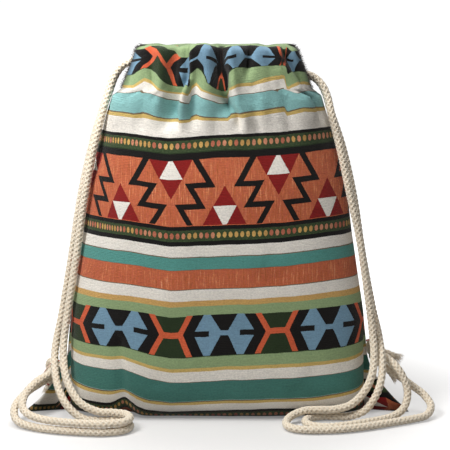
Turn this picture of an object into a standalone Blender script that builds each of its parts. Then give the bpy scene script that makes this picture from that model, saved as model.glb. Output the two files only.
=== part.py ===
"""Drawstring backpack: one folded cloth with a gathered rope channel, two ropes, two ribbon loops, two knots.

Metres, +Z up, the front faces -Y. The origin is on the ground under the middle of the bag.
"""
import math

import bmesh
import bpy
import numpy as np
from mathutils import Vector

CLOTH_THICK = 0.0016        # woven canvas
COLUMNS = 42                # steps across a panel, side seam to side seam
BODY_ROWS = 20              # steps down a panel, rope slit to bottom fold
OUTLINE_STEPS = 240         # fineness of an outline before its columns are read from it
GAP = 0.0004                # what touches stays this far apart

ROPE_DIAMETER = 0.008
ROPE_STEP = 0.0229          # spacing of the points along a rope
ROPE_RESOLUTION = 2         # 8 sides

# Rope channel along the top: a fold of the cloth, stitched down, with both ropes lying in it.
HEM_TOP = 0.3885
HEM_STITCH_Z = 0.3450
LEFT_ROPE_Z = 0.3735
RIGHT_ROPE_Z = 0.3590
CHANNEL_HALF = 0.0067       # from the ropes' line to the cloth on either side
CHANNEL_ROWS = 5
FLAP_CLEAR = 0.0084         # and to the layer inside them, which the bends of the ropes pass closer
SLIT_ANGLE = 36.0           # the channels stop this far short of the side, degrees
TURN_RADIUS = 0.022         # in which a rope turns round from the front channel to the back one
TURN_CENTRE = 0.062
CHANNEL_CROWN = 0.008       # how far the ropes' line bows out at the middle

# Outline at the slit and at the very top: half width, half depth, radius of the round ends.
SLIT_OUTLINE = (0.1065, 0.0440, 0.0330)
TOP_OUTLINE = (0.0865, 0.0367, 0.0287)
GATHER_START_Z = 0.290      # below this the sections are plain rounded ones

# Panels, one line a row from the slit down to the bottom fold: the seam's half width, how far it lies
# forward, its height, then at the middle how far out and how high the cloth is, and how boxy the
# section is, where 2 is an ellipse.
PANEL_ROWS = (
    (0.1065, 0.000, 0.3380, 0.0440, 0.3380, 2.0),
    (0.1180, 0.000, 0.3080, 0.0485, 0.3080, 2.0),
    (0.1290, 0.000, 0.2720, 0.0540, 0.2720, 2.1),
    (0.1375, 0.000, 0.2300, 0.0590, 0.2300, 2.2),
    (0.1430, 0.000, 0.1900, 0.0615, 0.1900, 2.3),
    (0.1490, 0.000, 0.1500, 0.0625, 0.1500, 2.4),
    (0.1550, 0.000, 0.1120, 0.0625, 0.1120, 2.6),
    (0.1590, 0.000, 0.0800, 0.0620, 0.0760, 2.9),
    (0.1610, 0.001, 0.0600, 0.0605, 0.0480, 3.2),
    (0.1660, 0.005, 0.0440, 0.0580, 0.0240, 3.6),
    (0.1765, 0.012, 0.0290, 0.0480, 0.0060, 4.0),
    (0.1905, 0.020, 0.0140, 0.0270, 0.0008, 4.0),
    (0.2040, 0.026, 0.0030, 0.0000, 0.0008, 4.0),
)
BODY_HALF = 0.156           # past this the bottom corners are two flat layers
EAR_HALF_THICK = 0.0034
REST_SAG = 0.0012           # cloth this close to the ground lies flat on it

# Pleats: number across a panel, depth, height where deepest, how fast they fade, phase in turns.
PLEATS = (
    (7.0, 0.0060, 0.392, 0.034, 0.55),
    (4.0, 0.0036, 0.334, 0.028, 0.15),
)
# Creases in the front panel: x and z of both ends, half width, depth.
CREASES = (
    (-0.036, 0.345, -0.034, 0.292, 0.009, 0.0045),
    (0.012, 0.345, 0.034, 0.292, 0.009, 0.0050),
    (0.078, 0.340, 0.104, 0.300, 0.008, 0.0035),
    (-0.112, 0.085, -0.104, 0.022, 0.012, 0.0055),
    (0.062, 0.150, 0.106, 0.050, 0.016, 0.0022),
)

# Strands of rope outside the channel, from the slit down to the ribbon loop, chosen by hand.
LEFT_FRONT = (
    (-0.0765, -0.0165, 0.3735), (-0.0880, -0.0105, 0.3728), (-0.0990, -0.0085, 0.3675),
    (-0.1075, -0.0095, 0.3560), (-0.1130, -0.0125, 0.3400), (-0.1180, -0.0165, 0.3230),
    (-0.1275, -0.0225, 0.2850), (-0.1385, -0.0240, 0.2300), (-0.1475, -0.0240, 0.1700),
    (-0.1575, -0.0260, 0.1100), (-0.1620, -0.0350, 0.0720), (-0.1570, -0.0520, 0.0440),
    (-0.1430, -0.0655, 0.0240), (-0.1240, -0.0695, 0.0146), (-0.1080, -0.0695, 0.0134),
    (-0.0942, -0.0752, 0.0134), (-0.0885, -0.0890, 0.0134), (-0.0942, -0.1028, 0.0134),
    (-0.1080, -0.1085, 0.0134), (-0.1240, -0.1090, 0.0134), (-0.1560, -0.1025, 0.0134),
    (-0.1830, -0.0905, 0.0140), (-0.1990, -0.0770, 0.0190), (-0.2000, -0.0600, 0.0290),
    (-0.1900, -0.0430, 0.0385), (-0.1800, -0.0290, 0.0422), (-0.1750, -0.0150, 0.0424),
    (-0.1740, -0.0005, 0.0422),
)
LEFT_BACK = (
    (-0.0765, 0.0165, 0.3735), (-0.0880, 0.0105, 0.3728), (-0.0990, 0.0085, 0.3675),
    (-0.1075, 0.0075, 0.3560), (-0.1135, 0.0070, 0.3400), (-0.1200, 0.0065, 0.3230),
    (-0.1320, 0.0050, 0.2850), (-0.1445, 0.0000, 0.2300), (-0.1550, -0.0060, 0.1650),
    (-0.1650, -0.0110, 0.1080), (-0.1720, -0.0220, 0.0700), (-0.1690, -0.0440, 0.0430),
    (-0.1580, -0.0620, 0.0220), (-0.1410, -0.0690, 0.0080), (-0.1240, -0.0698, 0.0048),
    (-0.1080, -0.0695, 0.0048), (-0.0942, -0.0752, 0.0048), (-0.0885, -0.0890, 0.0048),
    (-0.0942, -0.1028, 0.0048), (-0.1080, -0.1085, 0.0048), (-0.1240, -0.1093, 0.0048),
    (-0.1580, -0.1030, 0.0048), (-0.1880, -0.0910, 0.0048), (-0.2060, -0.0780, 0.0080),
    (-0.2100, -0.0610, 0.0175), (-0.2000, -0.0430, 0.0275), (-0.1875, -0.0290, 0.0335),
    (-0.1805, -0.0150, 0.0350), (-0.1790, -0.0005, 0.0350),
)
RIGHT_FRONT = (
    (0.0765, -0.0165, 0.3590), (0.0885, -0.0105, 0.3590), (0.1005, -0.0085, 0.3560),
    (0.1100, -0.0095, 0.3470), (0.1155, -0.0125, 0.3340), (0.1190, -0.0170, 0.3180),
    (0.1290, -0.0220, 0.2790), (0.1403, -0.0235, 0.2285), (0.1500, -0.0235, 0.1860),
    (0.1585, -0.0240, 0.1325), (0.1640, -0.0290, 0.0900), (0.1650, -0.0400, 0.0640),
    (0.1615, -0.0500, 0.0460), (0.1520, -0.0570, 0.0300), (0.1385, -0.0585, 0.0180),
    (0.1220, -0.0590, 0.0136), (0.1060, -0.0600, 0.0134), (0.0915, -0.0605, 0.0128),
    (0.0770, -0.0665, 0.0085), (0.0710, -0.0810, 0.0052), (0.0770, -0.0955, 0.0048),
    (0.0915, -0.1015, 0.0048), (0.1090, -0.1012, 0.0048), (0.1260, -0.0990, 0.0048),
    (0.1510, -0.0905, 0.0048), (0.1800, -0.0765, 0.0048), (0.2045, -0.0635, 0.0048),
    (0.2198, -0.0530, 0.0058), (0.2260, -0.0395, 0.0120), (0.2200, -0.0275, 0.0205),
    (0.2090, -0.0235, 0.0285), (0.1930, -0.0230, 0.0400), (0.1790, -0.0205, 0.0495),
    (0.1704, -0.0110, 0.0540), (0.1683, 0.0046, 0.0545),
)
RIGHT_BACK = (
    (0.0765, 0.0165, 0.3590), (0.0885, 0.0105, 0.3590), (0.1005, 0.0085, 0.3560),
    (0.1100, 0.0075, 0.3470), (0.1160, 0.0070, 0.3340), (0.1205, 0.0065, 0.3180),
    (0.1335, 0.0040, 0.2790), (0.1450, 0.0000, 0.2285), (0.1545, -0.0030, 0.1700),
    (0.1650, -0.0080, 0.1150), (0.1715, -0.0200, 0.0850), (0.1735, -0.0360, 0.0640),
    (0.1725, -0.0480, 0.0460), (0.1660, -0.0560, 0.0280), (0.1540, -0.0580, 0.0120),
    (0.1380, -0.0550, 0.0050), (0.1250, -0.0542, 0.0048), (0.1105, -0.0540, 0.0048),
    (0.0971, -0.0596, 0.0048), (0.0915, -0.0730, 0.0048), (0.0971, -0.0864, 0.0048),
    (0.1105, -0.0918, 0.0048), (0.1270, -0.0885, 0.0048), (0.1560, -0.0745, 0.0048),
    (0.1820, -0.0575, 0.0050), (0.1960, -0.0465, 0.0110), (0.2010, -0.0400, 0.0250),
    (0.1975, -0.0365, 0.0400), (0.1890, -0.0325, 0.0530), (0.1785, -0.0245, 0.0612),
    (0.1699, -0.0120, 0.0635), (0.1666, 0.0046, 0.0632),
)

# Ribbon loops: height on the seam, and how far out from the seam's line the ends start.
LEFT_TAB = (0.0355, 0.0017)
RIGHT_TAB = (0.0580, 0.0023)
TAB_WIDTH = 0.0080
TAB_THICK = 0.0012
TAB_REACH = 0.0145          # how far the loop stands out from the seam
TAB_SPREAD = 0.0145         # half the distance between its sewn ends

# Knots behind the loops: half sizes, lobes round them, and where each sits.
KNOT_SIZE = (0.0125, 0.0115, 0.0150)
KNOT_LOBES = 5
KNOT_LOBE_DEPTH = 0.10
LEFT_KNOT = (-0.1775, 0.0118, 0.0385)
RIGHT_KNOT = (0.1728, 0.0163, 0.0590)

COLOURS = {
    "canvas": (0.62, 0.54, 0.43),
    "rope": (0.83, 0.75, 0.62),
    "ribbon": (0.55, 0.06, 0.05),
}


def start_clean():
    for obj in list(bpy.data.objects):
        bpy.data.objects.remove(obj, do_unlink=True)
    parts = bpy.data.collections.new("drawstring_backpack")
    bpy.context.scene.collection.children.link(parts)
    return parts


def fabric_material(name, colour, roughness):
    mat = bpy.data.materials.new(name)
    mat.use_nodes = True
    shader = mat.node_tree.nodes["Principled BSDF"]
    shader.inputs["Base Color"].default_value = (*colour, 1.0)
    shader.inputs["Roughness"].default_value = roughness
    shader.inputs["Metallic"].default_value = 0.0
    mat.diffuse_color = (*colour, 1.0)
    return mat


def smooth_step(low, high, value):
    t = np.clip((value - low) / (high - low), 0.0, 1.0)
    return t * t * (3.0 - 2.0 * t)


def curve_through(points, at):
    """Values of a smooth curve through the points, at places counted in points."""
    pts = np.array(points, float)
    pts = np.vstack([2 * pts[0] - pts[1], pts, 2 * pts[-1] - pts[-2]])
    cell = np.clip(np.floor(at).astype(int), 0, len(points) - 2)
    t = (np.asarray(at) - cell)[:, None]
    p0, p1, p2, p3 = (pts[cell + k] for k in range(4))
    bend = (2 * p0 - 5 * p1 + 4 * p2 - p3) * t ** 2 + (3 * p1 - p0 - 3 * p2 + p3) * t ** 3
    return 0.5 * (2 * p1 + (p2 - p0) * t + bend)


def run_length(points):
    steps = np.linalg.norm(np.diff(points, axis=0), axis=1)
    return np.concatenate(([0.0], np.cumsum(steps)))


def even_points(points, count):
    """The same line with count points at equal steps along it."""
    run = run_length(points)
    at = np.linspace(0.0, run[-1], count)
    return np.column_stack([np.interp(at, run, points[:, k]) for k in range(points.shape[1])])


def smooth_route(points, step):
    dense = curve_through(points, np.linspace(0.0, len(points) - 1, 24 * len(points)))
    length = run_length(dense)[-1]
    return even_points(dense, round(length / step) + 1)


def rounded_section(row):
    """A row of a panel from the left seam to the right seam: a swollen body between two flat corners."""
    seam_x, forward, seam_z, out, centre_z, boxy = row
    body = min(1.0, BODY_HALF / seam_x)
    turn = np.radians(np.linspace(90.0, 0.0, OUTLINE_STEPS))
    share = np.sin(turn) ** (2.0 / boxy) * body
    swell = np.cos(turn) ** (2.0 / boxy)
    if body < 1.0:
        flat = np.linspace(1.0, body, OUTLINE_STEPS // 3, endpoint=False)
        share = np.concatenate([flat, share])
        swell = np.concatenate([np.zeros(len(flat)), swell])
    past = np.clip((share - body) / max(1.0 - body, 1e-6), 0.0, 1.0)
    layer = EAR_HALF_THICK * smooth_step(0.88 * body, body, share) * (1.0 - past ** 6) ** 0.5
    if body == 1.0:
        layer = 0.0 * layer
    depth = np.maximum(out * swell, layer * (out > 0.0))
    lean = -forward * share ** 3
    half = np.column_stack([seam_x * share, lean, depth, seam_z + (centre_z - seam_z) * swell])
    left = half * np.array([-1.0, 1.0, 1.0, 1.0])
    return np.vstack([left, half[-2::-1]])


def gathered_section(half_width, half_depth, end_radius, end_angle, z):
    """A plan outline with a crowned side and round ends that stop end_angle short of the side."""
    straight = half_width - end_radius
    angles = np.radians(np.linspace(end_angle, 90.0, OUTLINE_STEPS // 2))
    ends = np.column_stack([straight + end_radius * np.cos(angles), end_radius * np.sin(angles)])
    xs = np.linspace(straight, 0.0, OUTLINE_STEPS // 2)[1:]
    crown = end_radius + (half_depth - end_radius) * (0.5 + 0.5 * np.cos(math.pi * xs / straight))
    half = np.vstack([ends, np.column_stack([xs, crown])])
    half = np.column_stack([half[:, 0], np.zeros(len(half)), half[:, 1], np.full(len(half), z)])
    left = half * np.array([-1.0, 1.0, 1.0, 1.0])
    return np.vstack([left, half[-2::-1]])


def outline_at(z):
    """Half width, half depth and end radius of the gathered top at a height."""
    share = (z - PANEL_ROWS[0][2]) / (HEM_TOP - PANEL_ROWS[0][2])
    return [low + (high - low) * share for low, high in zip(SLIT_OUTLINE, TOP_OUTLINE)]


def pleat_depth(across, z, side):
    """How far the pleats stand out at places across a panel, 0 to 1, and a height."""
    depth = 0.0
    for count, deep, peak_z, fade, phase in PLEATS:
        near = math.exp(-((z - peak_z) / fade) ** 2) if z < peak_z else 1.0
        wave = 0.5 + 0.5 * np.cos(2.0 * math.pi * (count * across + side * phase))
        depth = depth + deep * near * wave
    return depth * np.sin(math.pi * across) ** 0.4


def crease_depth(x, z):
    """How far the front panel's creases sink at a point."""
    depth = np.zeros(len(x))
    for x0, z0, x1, z1, half, deep in CREASES:
        along = np.array([x1 - x0, z1 - z0])
        length = np.linalg.norm(along)
        along = along / length
        run = (x - x0) * along[0] + (z - z0) * along[1]
        off = (x - x0) * along[1] - (z - z0) * along[0]
        ends = smooth_step(-0.012, 0.012, run) * (1.0 - smooth_step(length - 0.012, length + 0.012, run))
        depth += deep * ends * np.exp(-(off / half) ** 2)
    return depth


def shaped_row(outline, side, swell):
    """Columns of one row: the outline pushed out by swell, on the front (side 1) or the back (-1)."""
    line = even_points(outline, OUTLINE_STEPS)
    across = np.linspace(0.0, 1.0, OUTLINE_STEPS)
    tangent = np.gradient(line[:, [0, 2]], axis=0)
    tangent /= np.linalg.norm(tangent, axis=1)[:, None]
    push = swell(across, line)
    x = line[:, 0] - tangent[:, 1] * push
    y = line[:, 2] + tangent[:, 0] * push
    world = np.column_stack([x, line[:, 1] - side * y, line[:, 3]])
    return even_points(world, COLUMNS + 1)


def body_rows(side):
    """Rows of one panel from the slit down to the bottom fold."""
    places = np.linspace(0.0, len(PANEL_ROWS) - 1, BODY_ROWS + 1)
    rows = []
    for row in curve_through(PANEL_ROWS, places):
        z = row[2]
        section = even_points(rounded_section(row), OUTLINE_STEPS)
        gather = smooth_step(GATHER_START_Z, PANEL_ROWS[0][2], z)
        if gather > 0.0:
            top = even_points(gathered_section(*outline_at(z), 0.0, z), OUTLINE_STEPS)
            section = section + (top - section) * gather

        def swell(across, line):
            out = pleat_depth(across, z, side)
            if side > 0:
                out = out - crease_depth(line[:, 0], line[:, 3]) * np.sin(math.pi * across) ** 0.3
            return out

        points = shaped_row(section, side, swell)
        points[:, 2] = CLOTH_THICK / 2 + np.maximum(0.0, points[:, 2] - CLOTH_THICK / 2 - REST_SAG)
        rows.append(points)
    rows[-1][:, 1] = -PANEL_ROWS[-1][1] * (rows[-1][:, 0] / PANEL_ROWS[-1][0]) ** 2
    return rows


def channel_rows(side):
    """Rows of the rope channel: up the outside, over the top fold and down the inside to the stitches."""
    heights = np.linspace(HEM_STITCH_Z, HEM_TOP - CHANNEL_HALF, CHANNEL_ROWS)
    rows = []
    for z in heights:
        outline = gathered_section(*outline_at(z), SLIT_ANGLE, z)
        rows.append(shaped_row(outline, side, lambda across, line: pleat_depth(across, z, side)))
    wide, deep, turn = TOP_OUTLINE
    crest = gathered_section(wide - CHANNEL_HALF, deep - CHANNEL_HALF, turn - CHANNEL_HALF, SLIT_ANGLE, HEM_TOP)
    rows.append(shaped_row(crest, side, lambda across, line: 0.5 * pleat_depth(across, HEM_TOP, side)))
    stitched = CLOTH_THICK + GAP
    ropes = (TURN_CENTRE + TURN_RADIUS, TURN_RADIUS + CHANNEL_CROWN, TURN_RADIUS)
    for z in heights[::-1]:
        follow = float(z == HEM_STITCH_Z)
        clear = [size - FLAP_CLEAR for size in ropes]
        close = [size - stitched for size in outline_at(z)]
        outline = gathered_section(*(close if follow else clear), SLIT_ANGLE, z)

        def swell(across, line):
            return (1.35 * follow - 0.35) * pleat_depth(across, z, side)

        rows.append(shaped_row(outline, side, swell))
    return rows


def make_canvas(parts):
    mesh = bpy.data.meshes.new("canvas_body")
    bm = bmesh.new()
    grids = []
    shared = {}
    for side in (1, -1):
        rows = channel_rows(side)[::-1] + body_rows(side)
        channel = 2 * CHANNEL_ROWS + 1
        grid = []
        for r, row in enumerate(rows):
            line = []
            for c, point in enumerate(row):
                fold = r == len(rows) - 1
                seam = r >= channel and c in (0, COLUMNS)
                key = (r, c)
                if (fold or seam) and key in shared:
                    line.append(shared[key])
                    continue
                vert = bm.verts.new(point)
                if fold or seam:
                    shared[key] = vert
                line.append(vert)
            grid.append(line)
        grids.append((side, grid))
    for side, grid in grids:
        for upper, lower in zip(grid, grid[1:]):
            for c in range(COLUMNS):
                corners = [upper[c], upper[c + 1], lower[c + 1], lower[c]]
                cells = [corners]
                if lower is grid[-1] and c == 0:
                    cells = [[corners[k] for k in tri] for tri in ((0, 1, 3), (1, 2, 3))]
                if lower is grid[-1] and c == COLUMNS - 1:
                    cells = [[corners[k] for k in tri] for tri in ((0, 1, 2), (0, 2, 3))]
                for cell in cells:
                    bm.faces.new(cell if side < 0 else cell[::-1])
    bm.normal_update()
    bm.to_mesh(mesh)
    bm.free()
    obj = bpy.data.objects.new("canvas_body", mesh)
    parts.objects.link(obj)
    mesh.materials.append(fabric_material("canvas", COLOURS["canvas"], 0.9))
    mesh.shade_smooth()
    wall = obj.modifiers.new("wall", "SOLIDIFY")
    wall.thickness = CLOTH_THICK
    wall.offset = 0.0
    wall.use_even_offset = False
    return obj


def channel_line(z, side):
    """A rope's way through the channel: along the front, round the far side and back along the rear."""
    xs = np.linspace(-1.0, 1.0, 6) * TURN_CENTRE
    crown = TURN_RADIUS + CHANNEL_CROWN * (0.5 + 0.5 * np.cos(math.pi * xs / TURN_CENTRE))
    front = [(side * -x, -y, z) for x, y in zip(xs, crown)]
    turns = np.radians((-60.0, -30.0, 0.0, 30.0, 60.0))
    round_end = [(side * -(TURN_CENTRE + TURN_RADIUS * math.cos(t)), TURN_RADIUS * math.sin(t), z) for t in turns]
    back = [(x, -y, z) for x, y, z in front[::-1]]
    return front + round_end + back


def make_rope(parts, name, front_strand, back_strand, z, side, material):
    route = list(front_strand[::-1]) + channel_line(z, side) + list(back_strand)
    points = smooth_route(route, ROPE_STEP)
    curve = bpy.data.curves.new(name, "CURVE")
    curve.dimensions = "3D"
    curve.bevel_depth = ROPE_DIAMETER / 2
    curve.bevel_resolution = ROPE_RESOLUTION
    curve.use_fill_caps = True
    spline = curve.splines.new("POLY")
    spline.points.add(len(points) - 1)
    for target, point in zip(spline.points, points):
        target.co = (*point, 1.0)
    curve.materials.append(material)
    obj = bpy.data.objects.new(name, curve)
    parts.objects.link(obj)
    return obj


def seam_at(z, side):
    """A point of the side seam at a height, with the seam's downward direction there."""
    dense = curve_through(PANEL_ROWS, np.linspace(0.0, len(PANEL_ROWS) - 1, 600))
    near = int(np.argmin(np.abs(dense[:, 2] - z)))
    point = np.array([side * dense[near, 0], -dense[near, 1], dense[near, 2]])
    ahead = dense[near + 12] - dense[near - 12]
    down = np.array([side * ahead[0], 0.0, ahead[2]])
    return point, down / np.linalg.norm(down)


def make_tab(parts, name, place_on_seam, side, material):
    """A ribbon bent into a loop, its two ends one above the other on the seam."""
    z, root = place_on_seam
    seam, down = seam_at(z, side)
    out = np.array([-down[2] * side, 0.0, down[0] * side])
    profile = (
        (-1.0, root), (-0.98, 0.55 * TAB_REACH), (-0.62, 0.94 * TAB_REACH),
        (0.62, 0.94 * TAB_REACH), (0.98, 0.55 * TAB_REACH), (1.0, root),
    )
    line = smooth_route([(along * TAB_SPREAD, reach) for along, reach in profile], 0.0026)
    mesh = bpy.data.meshes.new(name)
    bm = bmesh.new()
    strips = []
    for along, reach in line:
        place = seam + down * along + out * reach
        ends = []
        for edge in (-0.5, 0.5):
            ends.append(bm.verts.new(place + np.array([0.0, edge * TAB_WIDTH, 0.0])))
        strips.append(ends)
    for first, second in zip(strips, strips[1:]):
        bm.faces.new((first[0], first[1], second[1], second[0]))
    bm.normal_update()
    bm.to_mesh(mesh)
    bm.free()
    mesh.materials.append(material)
    obj = bpy.data.objects.new(name, mesh)
    parts.objects.link(obj)
    ribbon = obj.modifiers.new("ribbon", "SOLIDIFY")
    ribbon.thickness = TAB_THICK
    ribbon.offset = 0.0
    ribbon.use_even_offset = True
    return obj


def make_knot(parts, name, centre, material):
    """A knot as a rounded lump with the lobes of the turns that make it."""
    mesh = bpy.data.meshes.new(name)
    bm = bmesh.new()
    bmesh.ops.create_uvsphere(bm, u_segments=18, v_segments=10, radius=1.0)
    for vert in bm.verts:
        around = math.atan2(vert.co.y, vert.co.x)
        lobes = 1.0 - KNOT_LOBE_DEPTH * (0.5 - 0.5 * math.cos(KNOT_LOBES * around + 4.0 * vert.co.z))
        vert.co = Vector([value * size * lobes for value, size in zip(vert.co, KNOT_SIZE)]) + Vector(centre)
    bm.to_mesh(mesh)
    bm.free()
    mesh.materials.append(material)
    mesh.shade_smooth()
    obj = bpy.data.objects.new(name, mesh)
    parts.objects.link(obj)
    return obj


def main():
    parts = start_clean()
    rope = fabric_material("rope", COLOURS["rope"], 0.85)
    ribbon = fabric_material("ribbon", COLOURS["ribbon"], 0.7)
    make_canvas(parts)
    make_rope(parts, "cord_left", LEFT_FRONT, LEFT_BACK, LEFT_ROPE_Z, -1, rope)
    make_rope(parts, "cord_right", RIGHT_FRONT, RIGHT_BACK, RIGHT_ROPE_Z, 1, rope)
    make_tab(parts, "tab_left", LEFT_TAB, -1, ribbon)
    make_tab(parts, "tab_right", RIGHT_TAB, 1, ribbon)
    make_knot(parts, "knot_left", LEFT_KNOT, rope)
    make_knot(parts, "knot_right", RIGHT_KNOT, rope)


main()
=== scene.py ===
"""The drawstring backpack as photographed, built over its CAD frame."""
import math
import random

import bpy
import numpy as np
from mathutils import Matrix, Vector


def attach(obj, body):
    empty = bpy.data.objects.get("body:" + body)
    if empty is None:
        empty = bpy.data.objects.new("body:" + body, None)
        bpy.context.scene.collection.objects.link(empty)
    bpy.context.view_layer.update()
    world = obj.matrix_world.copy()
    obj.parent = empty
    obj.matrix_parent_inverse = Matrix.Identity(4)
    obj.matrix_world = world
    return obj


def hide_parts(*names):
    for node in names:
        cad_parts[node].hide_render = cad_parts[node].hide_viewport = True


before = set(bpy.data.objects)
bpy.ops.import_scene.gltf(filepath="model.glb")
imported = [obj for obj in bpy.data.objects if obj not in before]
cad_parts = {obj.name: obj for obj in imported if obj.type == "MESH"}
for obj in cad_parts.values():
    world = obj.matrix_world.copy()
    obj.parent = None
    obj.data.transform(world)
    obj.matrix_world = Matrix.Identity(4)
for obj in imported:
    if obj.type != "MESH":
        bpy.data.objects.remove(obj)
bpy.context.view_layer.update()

# The camera, at the photograph's place.
CAMERA_PLACE = (0.0084, -1.42, 0.42)
CAMERA_PITCH = 81.15        # degrees up from straight down
LENS = 108.0
SENSOR = 36.0

camera_data = bpy.data.cameras.new("camera")
camera_data.lens = LENS
camera_data.sensor_width = SENSOR
camera = bpy.data.objects.new("camera", camera_data)
camera.location = CAMERA_PLACE
camera.rotation_euler = (math.radians(CAMERA_PITCH), 0.0, 0.0)
bpy.context.scene.collection.objects.link(camera)
bpy.context.scene.camera = camera

# The CAD's own sizes, in metres.
CLOTH_THICK = 0.0016
OUTLINE_STEPS = 480
HEM_TOP = 0.3885
HEM_STITCH_Z = 0.3450
LEFT_ROPE_Z = 0.3735
RIGHT_ROPE_Z = 0.3590
CHANNEL_HALF = 0.0067
FLAP_CLEAR = 0.0084
SLIT_ANGLE = 36.0
TURN_RADIUS = 0.022
TURN_CENTRE = 0.062
CHANNEL_CROWN = 0.008
SLIT_OUTLINE = (0.1065, 0.0440, 0.0330)
TOP_OUTLINE = (0.0865, 0.0367, 0.0287)
GATHER_START_Z = 0.290
# Each row of the panels: half width at the seam, how far forward the seam leans, its height, half the
# depth, the height of the middle, and how square the outline is.
PANEL_ROWS = (
    (0.1065, 0, 0.338, 0.044, 0.338, 2), (0.118, 0, 0.308, 0.0485, 0.308, 2),
    (0.129, 0, 0.272, 0.054, 0.272, 2.1), (0.1375, 0, 0.23, 0.059, 0.23, 2.2),
    (0.143, 0, 0.19, 0.0615, 0.19, 2.3), (0.149, 0, 0.15, 0.0625, 0.15, 2.4),
    (0.155, 0, 0.112, 0.0625, 0.112, 2.6), (0.159, 0, 0.08, 0.062, 0.076, 2.9),
    (0.161, 0.001, 0.06, 0.0605, 0.048, 3.2), (0.166, 0.005, 0.044, 0.058, 0.024, 3.6),
    (0.1765, 0.012, 0.029, 0.048, 0.006, 4), (0.1905, 0.02, 0.014, 0.027, 0.0008, 4),
    (0.204, 0.026, 0.003, 0, 0.0008, 4),
)
BODY_HALF = 0.156
EAR_HALF_THICK = 0.0034
REST_SAG = 0.0012


def metres(rows):
    """The same table, turned from millimetres into metres."""
    return tuple(metres(row) if isinstance(row, tuple) else row / 1000.0 for row in rows)


# The ropes' routes outside the channel, from its ends down to the ribbon loops, in millimetres.
LEFT_FRONT = metres((
    (-76.5, -16.5, 373.5), (-88, -10.5, 372.8), (-99, -8.5, 367.5), (-107.5, -9.5, 356), (-113, -12.5, 340),
    (-118, -16.5, 323), (-127.5, -22.5, 285), (-138.5, -24, 230), (-147.5, -24, 170), (-157.5, -26, 110),
    (-162, -35, 72), (-157, -52, 44), (-143, -65.5, 24), (-124, -69.5, 14.6), (-108, -69.5, 13.4),
    (-94.2, -75.2, 13.4), (-88.5, -89, 13.4), (-94.2, -102.8, 13.4), (-108, -108.5, 13.4), (-124, -109, 13.4),
    (-156, -102.5, 13.4), (-183, -90.5, 14), (-199, -77, 19), (-200, -60, 29), (-190, -43, 38.5),
    (-180, -29, 42.2), (-175, -15, 42.4), (-174, -0.5, 42.2),
))
LEFT_BACK = metres((
    (-76.5, 16.5, 373.5), (-88, 10.5, 372.8), (-99, 8.5, 367.5), (-107.5, 7.5, 356), (-113.5, 7, 340),
    (-120, 6.5, 323), (-132, 5, 285), (-144.5, 0, 230), (-155, -6, 165), (-165, -11, 108), (-172, -22, 70),
    (-169, -44, 43), (-158, -62, 22), (-141, -69, 8), (-124, -69.8, 4.8), (-108, -69.5, 4.8), (-94.2, -75.2, 4.8),
    (-88.5, -89, 4.8), (-94.2, -102.8, 4.8), (-108, -108.5, 4.8), (-124, -109.3, 4.8), (-158, -103, 4.8),
    (-188, -91, 4.8), (-206, -78, 8), (-210, -61, 17.5), (-200, -43, 27.5), (-187.5, -29, 33.5),
    (-180.5, -15, 35), (-179, -0.5, 35),
))
RIGHT_FRONT = metres((
    (76.5, -16.5, 359), (88.5, -10.5, 359), (100.5, -8.5, 356), (110, -9.5, 347), (115.5, -12.5, 334),
    (119, -17, 318), (129, -22, 279), (140.3, -23.5, 228.5), (150, -23.5, 186), (158.5, -24, 132.5),
    (164, -29, 90), (165, -40, 64), (161.5, -50, 46), (152, -57, 30), (138.5, -58.5, 18), (122, -59, 13.6),
    (106, -60, 13.4), (91.5, -60.5, 12.8), (77, -66.5, 8.5), (71, -81, 5.2), (77, -95.5, 4.8),
    (91.5, -101.5, 4.8), (109, -101.2, 4.8), (126, -99, 4.8), (151, -90.5, 4.8), (180, -76.5, 4.8),
    (204.5, -63.5, 4.8), (219.8, -53, 5.8), (226, -39.5, 12), (220, -27.5, 20.5), (209, -23.5, 28.5),
    (193, -23, 40), (179, -20.5, 49.5), (170.4, -11, 54), (168.3, 4.6, 54.5),
))
RIGHT_BACK = metres((
    (76.5, 16.5, 359), (88.5, 10.5, 359), (100.5, 8.5, 356), (110, 7.5, 347), (116, 7, 334), (120.5, 6.5, 318),
    (133.5, 4, 279), (145, 0, 228.5), (154.5, -3, 170), (165, -8, 115), (171.5, -20, 85), (173.5, -36, 64),
    (172.5, -48, 46), (166, -56, 28), (154, -58, 12), (138, -55, 5), (125, -54.2, 4.8), (110.5, -54, 4.8),
    (97.1, -59.6, 4.8), (91.5, -73, 4.8), (97.1, -86.4, 4.8), (110.5, -91.8, 4.8), (127, -88.5, 4.8),
    (156, -74.5, 4.8), (182, -57.5, 5), (196, -46.5, 11), (201, -40, 25), (197.5, -36.5, 40), (189, -32.5, 53),
    (178.5, -24.5, 61.2), (169.9, -12, 63.5), (166.6, 4.6, 63.2),
))
# Each ribbon loop: how high on the seam, and how far out its ends are.
LEFT_TAB = (0.0355, 0.0017)
RIGHT_TAB = (0.0580, 0.0023)
TAB_WIDTH = 0.0080
TAB_THICK = 0.0012
TAB_REACH = 0.0145
TAB_SPREAD = 0.0145
LEFT_KNOT = (-0.1775, 0.0118, 0.0385)
RIGHT_KNOT = (0.1728, 0.0163, 0.0590)


# Small tools.
def smooth_step(low, high, value):
    t = np.clip((value - low) / (high - low), 0.0, 1.0)
    return t * t * (3.0 - 2.0 * t)


def curve_through(points, at):
    pts = np.array(points, float)
    pts = np.vstack([2 * pts[0] - pts[1], pts, 2 * pts[-1] - pts[-2]])
    cell = np.clip(np.floor(at).astype(int), 0, len(points) - 2)
    t = (np.asarray(at) - cell)[:, None]
    p0, p1, p2, p3 = (pts[cell + k] for k in range(4))
    bend = (2 * p0 - 5 * p1 + 4 * p2 - p3) * t ** 2 + (3 * p1 - p0 - 3 * p2 + p3) * t ** 3
    return 0.5 * (2 * p1 + (p2 - p0) * t + bend)


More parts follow.
